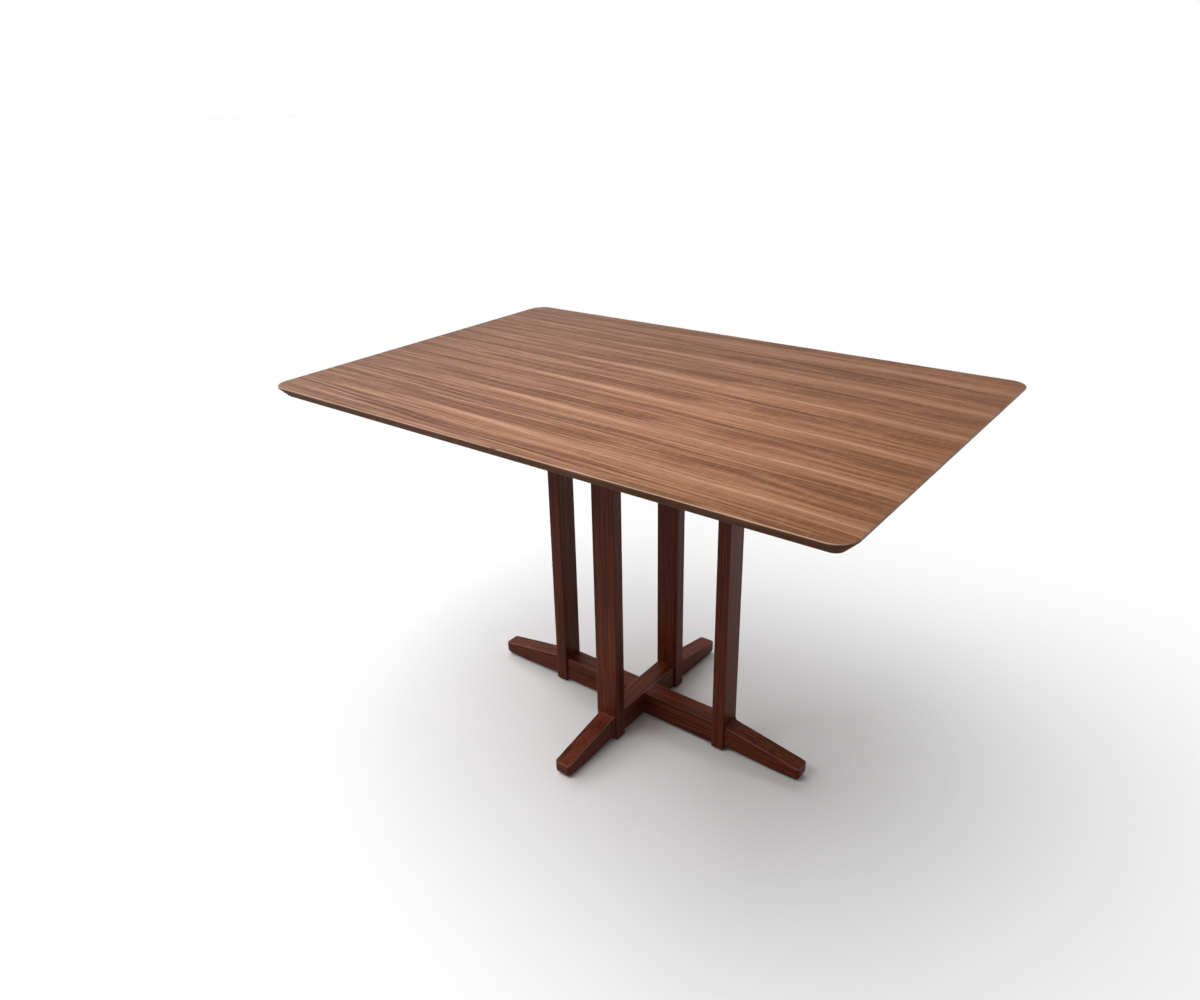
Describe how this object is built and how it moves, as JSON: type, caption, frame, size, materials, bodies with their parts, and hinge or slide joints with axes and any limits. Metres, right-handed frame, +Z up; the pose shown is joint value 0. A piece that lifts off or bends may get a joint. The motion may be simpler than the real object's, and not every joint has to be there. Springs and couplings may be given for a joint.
{
  "type": "butterfly leaf table",
  "caption": "Rectangular dining table on a crossed pedestal, whose top slides apart for a folding leaf stowed underneath.",
  "frame": {"origin": "on the floor, under the centre of the closed top", "axes": "+X along the table's length, +Y to its back edge, +Z up"},
  "size_m": [1.194, 0.8, 0.75],
  "materials": {
    "walnut_veneer": "satin lacquered walnut veneer on board, slip matched strips",
    "walnut_solid": "satin lacquered solid walnut, dark",
    "beech_frame": "plain waxed beech",
    "felt": "pressed felt",
    "brass": "drawn brass",
    "steel": "zinc plated steel"
  },
  "bodies": {
    "base": {"base_beam_long": "walnut_solid", "base_beam_cross": "walnut_solid", "floor_glides": "felt", "post_right": "walnut_solid", "post_back": "walnut_solid", "post_left": "walnut_solid", "post_front": "walnut_solid", "top_rail_long": "beech_frame", "top_rail_cross": "beech_frame", "bearer_left": "beech_frame", "bearer_right": "beech_frame", "runner_front": "beech_frame", "runner_back": "beech_frame", "slide_end_plates": "steel", "end_plate_screws": "steel", "leaf_pivot_pins": "steel", "leaf_pivot_brackets": "steel", "leaf_rest_blocks": "beech_frame", "post_bolts": "steel", "crossing_bolt": "steel", "rail_bolts": "steel", "bearer_screws": "steel", "runner_screws": "steel"},
    "right_top": {"top_half_right": "walnut_veneer", "alignment_pins": "brass", "slider_right_front": "beech_frame", "slider_right_back": "beech_frame", "slider_screws_right": "steel", "batten_right": "beech_frame", "batten_screws_right": "steel"},
    "left_top": {"top_half_left": "walnut_veneer", "slider_left_front": "beech_frame", "slider_left_back": "beech_frame", "slider_screws_left": "steel", "batten_left": "beech_frame", "batten_screws_left": "steel"},
    "leaf_upper": {"leaf_wing_upper": "walnut_veneer", "leaf_pins_upper": "brass", "leaf_magnets": "steel", "leaf_hinges_upper": "brass", "leaf_hinge_pins": "brass", "leaf_pivot_arms": "steel", "leaf_rest_tabs": "steel"},
    "leaf_lower": {"leaf_wing_lower": "walnut_veneer", "leaf_pins_lower": "brass", "leaf_strike_discs": "steel", "leaf_hinges_lower": "brass"}
  },
  "joints": [
    {"name": "right_top_slide", "type": "slide", "parent": "base", "child": "right_top", "axis": [1, 0, 0], "range_m": [0, 0.215]},
    {"name": "left_top_slide", "type": "slide", "parent": "base", "child": "left_top", "axis": [-1, 0, 0], "range_m": [0, 0.215]},
    {"name": "leaf_turn", "type": "hinge", "parent": "base", "child": "leaf_upper", "pos_m": [0, -0.1001, 0.7165], "axis": [1, 0, 0], "range_deg": [0, 3.5]},
    {"name": "leaf_unfold", "type": "hinge", "parent": "leaf_upper", "child": "leaf_lower", "pos_m": [0, -0.2002, 0.6825], "axis": [-1, 0, 0], "range_deg": [0, 1.8]}
  ]
}
